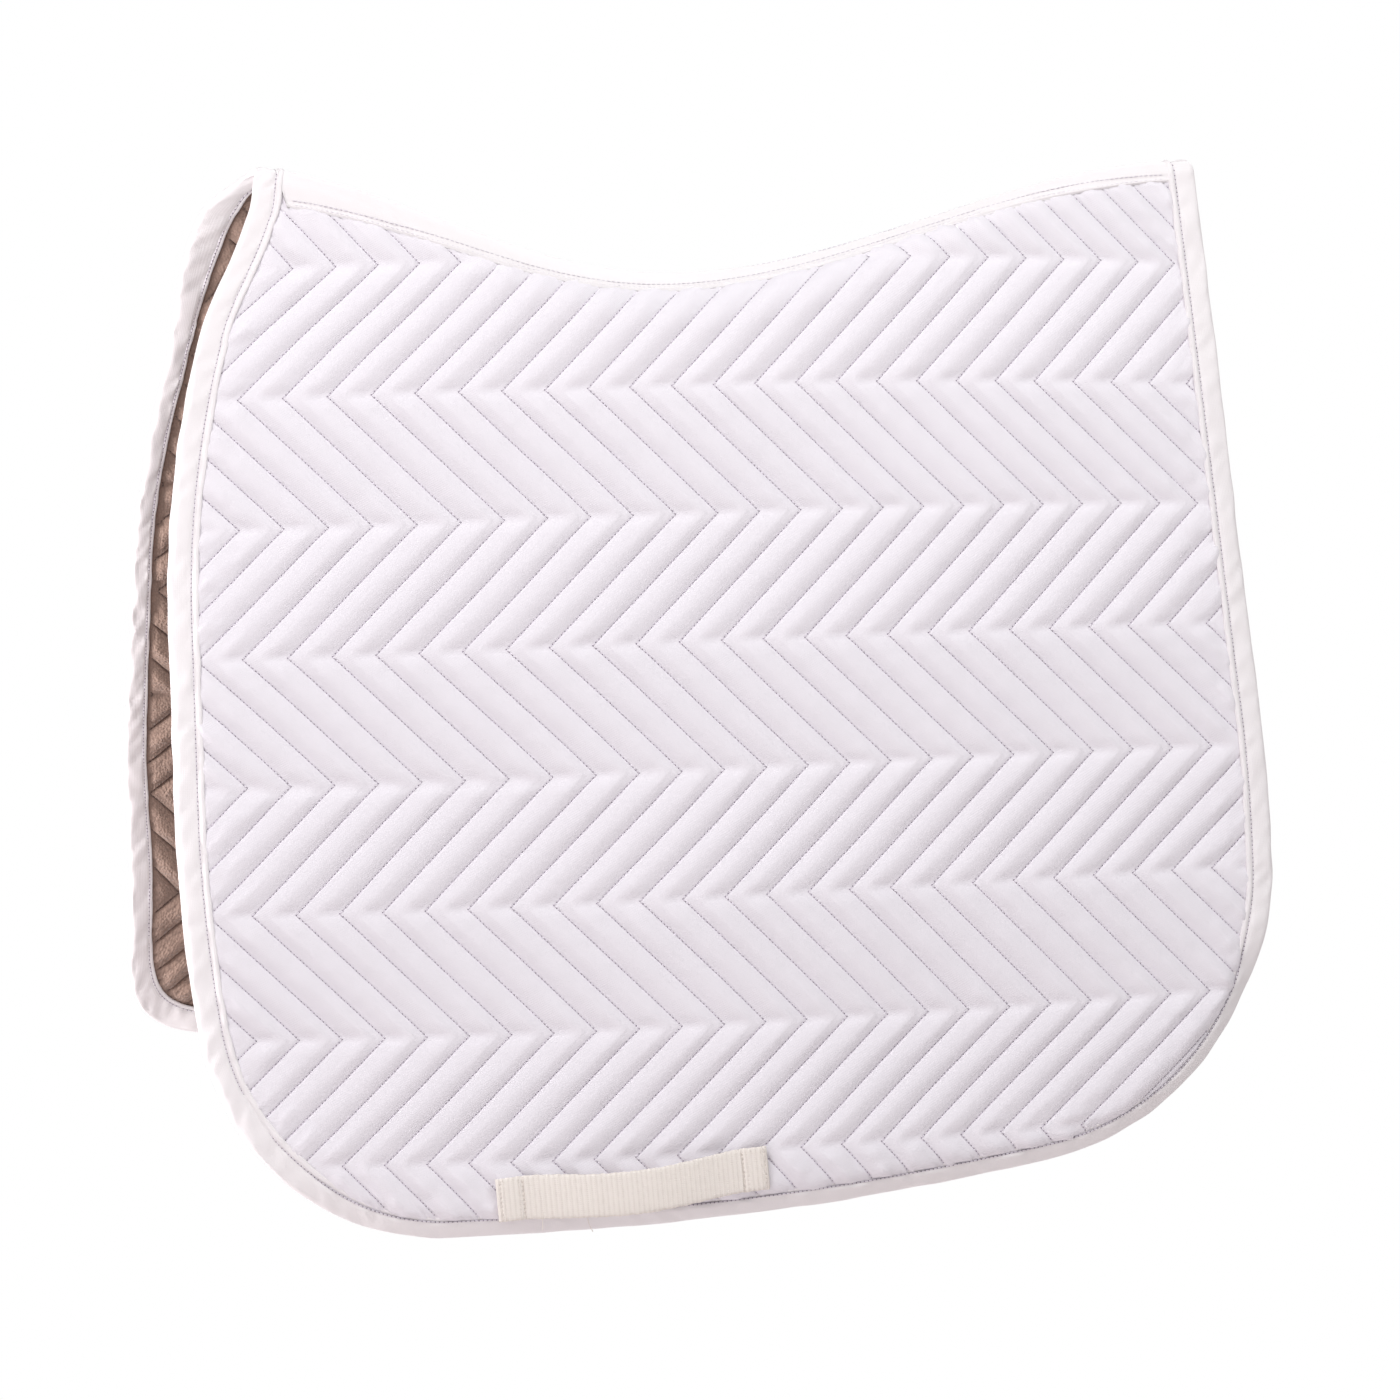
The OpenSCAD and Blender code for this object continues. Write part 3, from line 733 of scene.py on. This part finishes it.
# ---- Quilting stitches ----
def quilt_stitches(name, side, layer, materials):
    """The zigzag lines of thread on the face (layer 1) or the lining (-1), leg by leg."""
    first = int(math.floor((IU[0] * CELL_U) / PITCH)) - LEG
    last = int(math.ceil((IU[-1] * CELL_U) / PITCH)) + LEG
    per_leg = int(round(math.hypot(LEG_W, ROW) / STITCH_PITCH))
    # each thread takes up most of its share of the leg
    t0 = (np.arange(per_leg) + 0.12) / per_leg
    t1 = (np.arange(per_leg) + 0.86) / per_leg
    starts, ends = [], []
    for line in range(first, last + 1):
        u0 = PITCH / 2 + line * PITCH
        for k in range(-1, 8):
            a = np.array([u0 + (LEG_W if k % 2 == 0 else 0), FIRST_ROW + k * ROW])
            b = np.array([u0 + (0 if k % 2 == 0 else LEG_W), FIRST_ROW + (k + 1) * ROW])
            starts.append(a + (b - a) * t0[:, None])
            ends.append(a + (b - a) * t1[:, None])
    starts, ends = np.concatenate(starts), np.concatenate(ends)
    (su, sv), (eu, ev) = drift(starts[:, 0], starts[:, 1]), drift(ends[:, 0], ends[:, 1])
    inset_s, inset_e = inset_of(su, sv), inset_of(eu, ev)
    inset = np.minimum(inset_s, inset_e)
    l = np.minimum(sv - ridge_v(su), ev - ridge_v(eu))
    # the lines stop at the tapes of the ridge and of the edge
    edge = np.where(layer > 0, band_half(su) + 0.6, TAPE_HALF + 0.6)
    rim = BINDING_W + 0.2 - SEAM_IN * tuck(su, sv) if layer > 0 else 14.6 + inside_extra(su, sv)
    keep = (inset > rim) & (l > edge) & (sv > -90)
    su, sv, eu, ev = su[keep], sv[keep], eu[keep], ev[keep]
    n = layer * THREAD_N + lean_under(inset_s[keep], tuck(su, sv))
    n_end = layer * THREAD_N + lean_under(inset_e[keep], tuck(eu, ev))
    a, b = place(su, sv, n, side), place(eu, ev, n_end, side)
    up = place(su, sv, n + layer, side) - a
    return stitches(name, [(a, b, up)], QUILT_R, materials, lift=0.12)


# ---- The spine's cover band and inner tape ----
def ridge_strip(name, half_of, layer, base, top, inset, roll, material):
    """A strip laid over the ridge, from height base to top, with turned-under edges rounded up by roll."""
    u0, u1 = FRONT_END + inset, REAR_END - inset
    us = np.arange(u0, u1 + 1, 2.6)
    # the columns lie closer together near both edges
    even = np.linspace(-1, 1, 33)
    f = np.sin(even * math.pi / 2) * 0.35 + even * 0.65
    half = half_of(us)[:, None]
    l = f * half
    from_edge = half * (1 - np.abs(f))
    uu = np.broadcast_to(us[:, None], l.shape)
    # the turned-under edge stands up, and the stitches beside it pull the strip down
    bulge = roll * np.exp(-((from_edge - 1.3) / 1.1) ** 2) - 0.35 * np.exp(-((from_edge - 3.2) / 0.8) ** 2)
    creases = 0.28 * noise((uu + l * 0.5) / 9, l / 9, 71) * smooth(from_edge / 3)
    upper = base + (top - base) * np.clip(from_edge / 0.8, 0.15, 1) ** 0.6 + bulge + creases
    outer = over_ridge(uu, l, layer * upper, 1)
    inner = over_ridge(uu, l, layer * base * np.ones_like(l), 1)
    rows, cols = l.shape
    (a, b, c, d), rim, following = grid_corners(rows, cols)
    front = np.stack([a, d, c, b], -1).reshape(-1, 4)
    front = front if layer < 0 else front[:, ::-1]
    back = front[:, ::-1] + rows * cols
    wall = np.stack([following, rim, rim + rows * cols, following + rows * cols], -1)
    wall = wall[:, ::-1] if layer > 0 else wall
    points = np.concatenate([outer.reshape(-1, 3), inner.reshape(-1, 3)])
    cloth = np.stack([uu, l, np.zeros_like(l)], -1).reshape(-1, 3) * MM
    faces = [front, back, wall]
    return make(name, points, faces, material, np.concatenate([cloth, cloth]), flat=[False, True, False])


def ridge_stitches(name, half_of, layer, height, insets, inset_u, materials):
    """Rows of stitches along both edges of a strip over the ridge."""
    runs = []
    us = np.arange(FRONT_END + inset_u, REAR_END - inset_u - 3, 3.0)
    for side in (-1, 1):
        for back_off in insets:
            l, n = side * (half_of(us) - back_off), np.full(len(us), layer * height)
            a = over_ridge(us, l, n, 1)
            b = over_ridge(us + 2.3, side * (half_of(us + 2.3) - back_off), n, 1)
            runs.append((a, b, over_ridge(us, l, n + layer, 1) - a))
    return stitches(name, runs, BAND_R, materials)


# ---- The girth strap ----
def on_strap(x, y, h, side):
    """x along the strap to the rear, y across it downwards, h above the cloth."""
    c, s = math.cos(STRAP_A), math.sin(STRAP_A)
    u, v = STRAP_U + x * c + y * s, STRAP_V - x * s + y * c
    return place(u, v, 4.1 + h, side)


def strap_line(x):
    """Height of the webbing's lower face, and how far it droops between its sewn ends."""
    open_l = STRAP_L - 2 * STRAP_END
    free = np.clip(1 - np.abs(x) / (open_l / 2), 0, 1)
    arch = np.sin(free * math.pi / 2) ** 1.3
    return WEBBING_T + STRAP_BOW * arch, 4.2 * arch


def girth_strap(name, side, material):
    """Ribbed webbing: a closed strip with rounded selvedges, its ends folded under themselves."""
    rib, half = 2.9, STRAP_W / 2
    xs = np.arange(-STRAP_L / 2, STRAP_L / 2 + 0.01, 0.4)[:, None]
    selvedge = np.array([11.0, 11.8, 12.3, 12.5])
    ys = np.concatenate([-selvedge[::-1], np.linspace(-10, 10, 15), selvedge])
    base, droop = strap_line(xs)
    end = np.abs(xs) > STRAP_L / 2 - STRAP_END
    turn = smooth((STRAP_L / 2 - np.abs(xs)) / 1.6)
    wave = 0.75 * np.abs(np.sin(np.pi * xs / rib)) ** 0.8
    sewn = 0.7 * sum(np.exp(-((STRAP_L / 2 - np.abs(xs) - q) / 0.7) ** 2) for q in (2.2, STRAP_END - 2.0))
    thick = np.sqrt(np.clip(1 - (np.abs(ys) / 12.55) ** 14, 0.02, 1))
    ragged = 0.25 * noise(xs / 1.9, 0 * xs, 81 + side)
    loosen = 0.35 * noise(xs / 22, 0 * xs + 4, 83)
    up = base + WEBBING_T * (0.5 + 0.5 * thick) + (wave - sewn) * thick
    down = base + WEBBING_T * (0.5 - 0.5 * thick) + 0 * up
    # the end folded underneath doubles the webbing
    down = np.where(end, down - WEBBING_T * thick * turn, down)
    up = up - (1 - turn) * 1.2
    y = ys + droop + (ys / half) * (ragged + loosen)
    x = np.broadcast_to(xs, y.shape)
    outer = on_strap(x, y, up, side)
    inner = on_strap(x, y, down, side)
    rows, cols = y.shape
    (a, b, c, d), rim, following = grid_corners(rows, cols)
    front = np.stack([a, b, c, d], -1).reshape(-1, 4)
    back = front[:, ::-1] + rows * cols
    wall = np.stack([rim, following, following + rows * cols, rim + rows * cols], -1)[:, ::-1]
    cloth = np.stack([x, y, up], -1).reshape(-1, 3) * MM
    points = np.concatenate([outer.reshape(-1, 3), inner.reshape(-1, 3)])
    return make(name, points, facing([front, back, wall], side), material, np.concatenate([cloth, cloth]))


def strap_stitches(name, side, materials):
    """The box stitches of the strap's ends, and two loose thread ends below it."""
    runs = []
    top = 2 * WEBBING_T + 0.18
    for end in (-1, 1):
        for q in (2.2, 4.6, STRAP_END - 4.4, STRAP_END - 2.0):
            ys = np.arange(-10.6, 9.6, 2.5)
            x = np.full(len(ys), end * (STRAP_L / 2 - q))
            for lean in (0.5, -0.5):
                a = on_strap(x - lean, ys, top, side)
                b = on_strap(x + lean, ys + 2.0, top, side)
                runs.append((a, b, on_strap(x - lean, ys, top + 1, side) - a))
        for y in (-10.8, 10.8):
            xs = end * (STRAP_L / 2 - np.arange(2.2, STRAP_END - 3.6, 2.4))
            ys = np.full(len(xs), y)
            a, b = on_strap(xs, ys, top, side), on_strap(xs - end * 1.9, ys, top, side)
            runs.append((a, b, on_strap(xs, ys, top + 1, side) - a))
    # two loose thread ends hang from the lower edge
    for x0, length, tilt in ((-55.0, 8.5, 0.4), (-29.0, 10.5, 3.2)):
        t = np.linspace(0, 1, 9)
        xs = x0 + tilt * t * t
        ys = 12.0 + strap_line(np.array([x0]))[1][0] + length * t - 1.2
        hs = 5.5 - 4.0 * t
        a = on_strap(xs[:-1], ys[:-1], hs[:-1], side)
        b = on_strap(xs[1:], ys[1:], hs[1:], side)
        up = on_strap(xs[:-1], ys[:-1], hs[:-1] + 1, side) - a
        runs.append((a, b + (b - a) * 0.15, up))
    return stitches(name, runs, STRAP_R, materials)


# ---- Materials ----
TWILL_RUN = (-0.40, 0.92, 0.0)      # across the twill's lines
CHANNEL_SHADE_N = 3.6                        # height scale over which the painted shade in the lining's channels fades out


def fabric(name, colour, dark, scale, rough=0.9, sheen=0.25, tint=0.04, bump=0.12, weave="twill",
           shade=0.08):
    """A procedural cloth with a weave and small changes of colour, from the cloth's own coordinates.  scale
    is the weave's pitch in metres; shade is how far the colour follows it, and tint broad patches."""
    m = bpy.data.materials.new(name)
    m.use_nodes = True
    t = m.node_tree
    bsdf = t.nodes["Principled BSDF"]
    bsdf.inputs["Roughness"].default_value = rough
    bsdf.inputs["Sheen Weight"].default_value = sheen
    bsdf.inputs["Sheen Roughness"].default_value = 0.5
    bsdf.inputs["Specular IOR Level"].default_value = 0.2
    new = t.nodes.new
    link = t.links.new
    at = new("ShaderNodeAttribute")
    at.attribute_name = "cloth"
    at.attribute_type = "GEOMETRY"

    def on_cloth(kind, **values):
        node = new(kind)
        for key, value in values.items():
            node.inputs[key].default_value = value
        link(at.outputs["Vector"], node.inputs["Vector"])
        return node

    def wave(direction, size, distortion=0.0):
        # the node repeats 20 / (2 pi) times per unit
        w = on_cloth("ShaderNodeTexWave", Scale=2 * math.pi / 20 / size, Distortion=distortion, Detail=2.0)
        w.wave_type = "BANDS"
        w.bands_direction = direction
        w.wave_profile = "SIN"
        return w.outputs["Fac"]

    def math_node(op, a, b):
        x = new("ShaderNodeMath")
        x.operation = op
        for k, value in enumerate((a, b)):
            if isinstance(value, (int, float)):
                x.inputs[k].default_value = value
            else:
                link(value, x.inputs[k])
        return x.outputs[0]

    if weave == "twill":
        # fine lines at a low slope, the same on the flanks of a roll as on its crown
        ribs = new("ShaderNodeVectorMath")
        ribs.operation = "DOT_PRODUCT"
        ribs.inputs[1].default_value = [2 * math.pi / scale * k for k in TWILL_RUN]
        link(at.outputs["Vector"], ribs.inputs[0])
        sine = math_node("SINE", ribs.outputs["Value"], 0.0)
        height = math_node("ADD", math_node("MULTIPLY", sine, 0.5), 0.5)
    elif weave == "ribs":
        ends = math_node("MULTIPLY", wave("Y", scale * 0.4, 1.0), 0.12)
        height = math_node("ADD", wave("X", scale), ends)
    elif weave == "knit":
        loops = on_cloth("ShaderNodeTexVoronoi", Scale=1 / scale, Randomness=0.75)
        height = math_node("SUBTRACT", 1.0, loops.outputs["Distance"])
    else:
        height = math_node("MULTIPLY", wave("X", scale, 0.3), wave("Y", scale, 0.3))
    fuzz = on_cloth("ShaderNodeTexNoise", Scale=0.7 / scale, Detail=4.0)
    broad = on_cloth("ShaderNodeTexNoise", Scale=14.0, Detail=3.0)
    summed = math_node("ADD", height, math_node("MULTIPLY", fuzz.outputs["Fac"], 0.8))
    if weave == "knit":
        # painted shade: where the cloth lies low in the channels, the weave is weakened, which darkens the
        # lining's colour and flattens its bump
        split = on_cloth("ShaderNodeSeparateXYZ")
        lit_share = math_node("MULTIPLY", math_node("ABSOLUTE", split.outputs["Z"], 0.0), 1 / (CHANNEL_SHADE_N * MM))
        lit_share = math_node("MINIMUM", math_node("MAXIMUM", math_node("SUBTRACT", lit_share, 0.30), 0.0), 1.0)
        lit_share = math_node("ADD", math_node("MULTIPLY", lit_share, 0.75), 0.25)
        summed = math_node("MULTIPLY", summed, lit_share)
    ramp = new("ShaderNodeMix")
    ramp.data_type = "RGBA"
    ramp.inputs[6].default_value = (*dark, 1)
    ramp.inputs[7].default_value = (*colour, 1)
    patches = math_node("MULTIPLY", broad.outputs["Fac"], tint)
    spread = math_node("ADD", math_node("MULTIPLY", summed, shade), patches)
    link(math_node("ADD", spread, 1.0 - shade * 0.9 - tint * 0.5), ramp.inputs[0])
    ramp.clamp_factor = True
    link(ramp.outputs[2], bsdf.inputs["Base Color"])
    b = new("ShaderNodeBump")
    b.inputs["Strength"].default_value = bump
    b.inputs["Distance"].default_value = scale * 0.5
    link(summed, b.inputs["Height"])
    link(b.outputs["Normal"], bsdf.inputs["Normal"])
    return m


FACE = fabric("face_cotton", (0.80, 0.77, 0.82), (0.58, 0.54, 0.60), 0.0009,
              sheen=0.15, bump=0.3, shade=0.1)
LINING = fabric("lining_knit", (0.34, 0.235, 0.19), (0.055, 0.033, 0.026), 0.0017,
                sheen=0.3, bump=1.0, weave="knit", shade=0.62, tint=0.15)
TAPE = fabric("binding_weave", (0.815, 0.785, 0.80), (0.62, 0.565, 0.58), 0.0010,
              sheen=0.15, bump=0.15, weave="plain", shade=0.1)
TAPE_BROWN = fabric("inner_tape_weave", (0.25, 0.18, 0.15), (0.12, 0.08, 0.06), 0.0011,
                    bump=0.3, weave="plain")
WEBBING = fabric("ivory_webbing", (0.84, 0.785, 0.74), (0.46, 0.39, 0.34), 0.0029,
                 rough=0.6, sheen=0.1, bump=0.5, weave="ribs", shade=0.36)
THREAD = fabric("white_thread", (0.70, 0.66, 0.72), (0.55, 0.51, 0.57), 0.0006,
                rough=0.6, bump=0.2, weave="plain")
# painted shade: this dark colour stands for the shadow inside each needle hole
NEEDLE_SHADE = fabric("needle_hole_shade", (0.28, 0.24, 0.30), (0.20, 0.17, 0.22), 0.0006,
              sheen=0.0, bump=0.0, weave="plain")
THREAD_BROWN = fabric("brown_thread", (0.13, 0.085, 0.07), (0.08, 0.05, 0.04), 0.0006,
                      rough=0.6, bump=0.2, weave="plain")


# ---- The pieces ----
BEND_ABOVE, BEND_BELOW = 24.0, 26.0     # how far above and below a fold line the cloth bends


def fold_ends(side):
    """Where cloth starts and stops bending at a fold, on the middle layer."""
    depths = FOLD_V - BEND_ABOVE, FOLD_V + BEND_BELOW
    return [tuple(place(0.0, v, 0.0, side, swaying=False)) for v in depths]


for name, side in SIDES.items():
    start, end = fold_ends(side)
    flap = name + "_flap"
    face = quilted_panel(name + "_quilted_face", side, 1, FACE)
    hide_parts(name + "_face", name + "_foam", name + "_face_top", name + "_foam_top")
    lining = quilted_panel(name + "_quilted_lining", side, -1, LINING)
    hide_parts(name + "_lining", name + "_lining_top")
    tape, rows, heights = edge_tape(name + "_edge_tape", side, TAPE)
    tops = ["front_binding_top", "rear_binding_top"] if side < 0 else []
    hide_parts(name + "_edge_binding", *tops)
    tape_sewing = tape_stitches(name + "_tape_stitches", side, rows, heights, [THREAD, NEEDLE_SHADE])
    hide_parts(name + "_binding_stitching")
    quilt_sewing = quilt_stitches(name + "_quilt_stitches", side, 1, [THREAD, NEEDLE_SHADE])
    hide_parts(name + "_quilt_thread")
    lining_sewing = quilt_stitches(name + "_lining_stitches", side, -1, [THREAD_BROWN])
    strap = girth_strap(name + "_webbing_strap", side, WEBBING)
    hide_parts(name + "_girth_strap")
    strap_sewing = strap_stitches(name + "_strap_stitches", side, [WEBBING])
    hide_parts(name + "_strap_stitching")
    for o in (face, lining, tape, tape_sewing, quilt_sewing, lining_sewing):
        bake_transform(o)
    for o in (strap, strap_sewing):
        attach(o, flap)

STRIP_INSET = 12.8      # the strips of the ridge end under the edge tape, this far in
cover = ridge_strip("spine_cover_band", band_half, 1, 1.0, 2.9, STRIP_INSET, 0.5, TAPE)
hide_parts("spine_band")
cover_sewing = ridge_stitches("spine_cover_stitches", band_half, 1, 3.05, (1.9, 4.5), 17.5, [THREAD])
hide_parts("spine_stitching")
inner_tape = ridge_strip("spine_inner_tape", lambda u: TAPE_HALF + 0 * u, -1,
                         1.0, 2.5, STRIP_INSET, 0.3, TAPE_BROWN)
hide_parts("spine_tape")
for o in (cover, cover_sewing, inner_tape):
    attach(o, "spine")


# ---- Camera ----
scene = bpy.context.scene
AZIMUTH, ELEVATION, ROLL = math.radians(-14.0), math.radians(15.0), math.radians(2.016)
AIM, DISTANCE = Vector((0.02613, 0.0, -0.2499)), 3.0
level = math.cos(ELEVATION)
to_camera = Vector((math.sin(AZIMUTH) * level, -math.cos(AZIMUTH) * level, math.sin(ELEVATION)))
right = Vector((math.cos(AZIMUTH), math.sin(AZIMUTH), 0.0))
up = to_camera.cross(right)
right, up = right * math.cos(ROLL) + up * math.sin(ROLL), up * math.cos(ROLL) - right * math.sin(ROLL)
camera = bpy.data.objects.new("camera", bpy.data.cameras.new("camera"))
scene.collection.objects.link(camera)
turned_by = Matrix((right, up, to_camera)).transposed().to_4x4()
camera.matrix_world = Matrix.Translation(AIM + to_camera * DISTANCE) @ turned_by
camera.data.sensor_width = 36.0
camera.data.lens = 129.76
camera.data.clip_end = 50.0
camera.data.dof.use_dof = False
scene.camera = camera

# ---- Stage and light ----
ground = bpy.data.meshes.new("floor")
FAR, FLOOR_Z = 8, -1.1
ground.from_pydata([(-FAR, -FAR, 0), (FAR, -FAR, 0), (FAR, FAR, 0), (-FAR, FAR, 0)], [], [(0, 1, 2, 3)])
floor = bpy.data.objects.new("floor", ground)
floor.location = (0, 0, FLOOR_Z)
scene.collection.objects.link(floor)
plain = bpy.data.materials.new("floor")
plain.use_nodes = True
matt = plain.node_tree.nodes["Principled BSDF"]
matt.inputs["Base Color"].default_value = (0.92, 0.855, 0.855, 1)
matt.inputs["Roughness"].default_value = 1.0


def white_to_camera(tree, shader, output):
    """The camera sees plain white where light sees the shader."""
    path = tree.nodes.new("ShaderNodeLightPath")
    of_world = output.bl_idname == "ShaderNodeOutputWorld"
    glow = tree.nodes.new("ShaderNodeBackground" if of_world else "ShaderNodeEmission")
    glow.inputs["Color"].default_value = (1, 1, 1, 1)
    glow.inputs["Strength"].default_value = 1.0
    mix = tree.nodes.new("ShaderNodeMixShader")
    tree.links.new(path.outputs["Is Camera Ray"], mix.inputs[0])
    tree.links.new(shader.outputs[0], mix.inputs[1])
    tree.links.new(glow.outputs[0], mix.inputs[2])
    tree.links.new(mix.outputs[0], output.inputs["Surface"])


white_to_camera(plain.node_tree, matt, plain.node_tree.nodes["Material Output"])
ground.materials.append(plain)

world = bpy.data.worlds.new("studio")
scene.world = world
world.use_nodes = True
sky = world.node_tree.nodes["Background"]
sky.inputs["Color"].default_value = (1.0, 0.99, 0.985, 1)
sky.inputs["Strength"].default_value = 0.43
white_to_camera(world.node_tree, sky, world.node_tree.nodes["World Output"])
scene.view_settings.view_transform = "Standard"


def soft_light(name, place_at, aim, size, power, colour=(1, 1, 1)):
    data = bpy.data.lights.new(name, "AREA")
    data.shape = "SQUARE"
    data.size = size
    data.energy = power
    data.color = colour
    o = bpy.data.objects.new(name, data)
    scene.collection.objects.link(o)
    o.location = place_at
    o.rotation_euler = (Vector(aim) - Vector(place_at)).to_track_quat("-Z", "Y").to_euler()


soft_light("key", (-0.9, -1.1, 1.3), (0, 0, -0.2), 1.0, 22.5, (1.0, 0.985, 0.99))
soft_light("top", (0.75, -0.75, 1.0), (0.15, 0, -0.05), 0.8, 7.5, (0.985, 1.0, 0.99))
soft_light("fill", (-1.3, -1.5, -0.45), (-0.2, 0, -0.25), 0.9, 5.0, (1.0, 0.93, 0.95))
soft_light("front", (-1.1, -0.02, -0.38), (-0.28, 0.15, -0.28), 0.25, 7.5, (1.0, 0.97, 0.97))
soft_light("back", (1.0, 1.7, 1.0), (0, 0.1, -0.25), 1.2, 26.0)
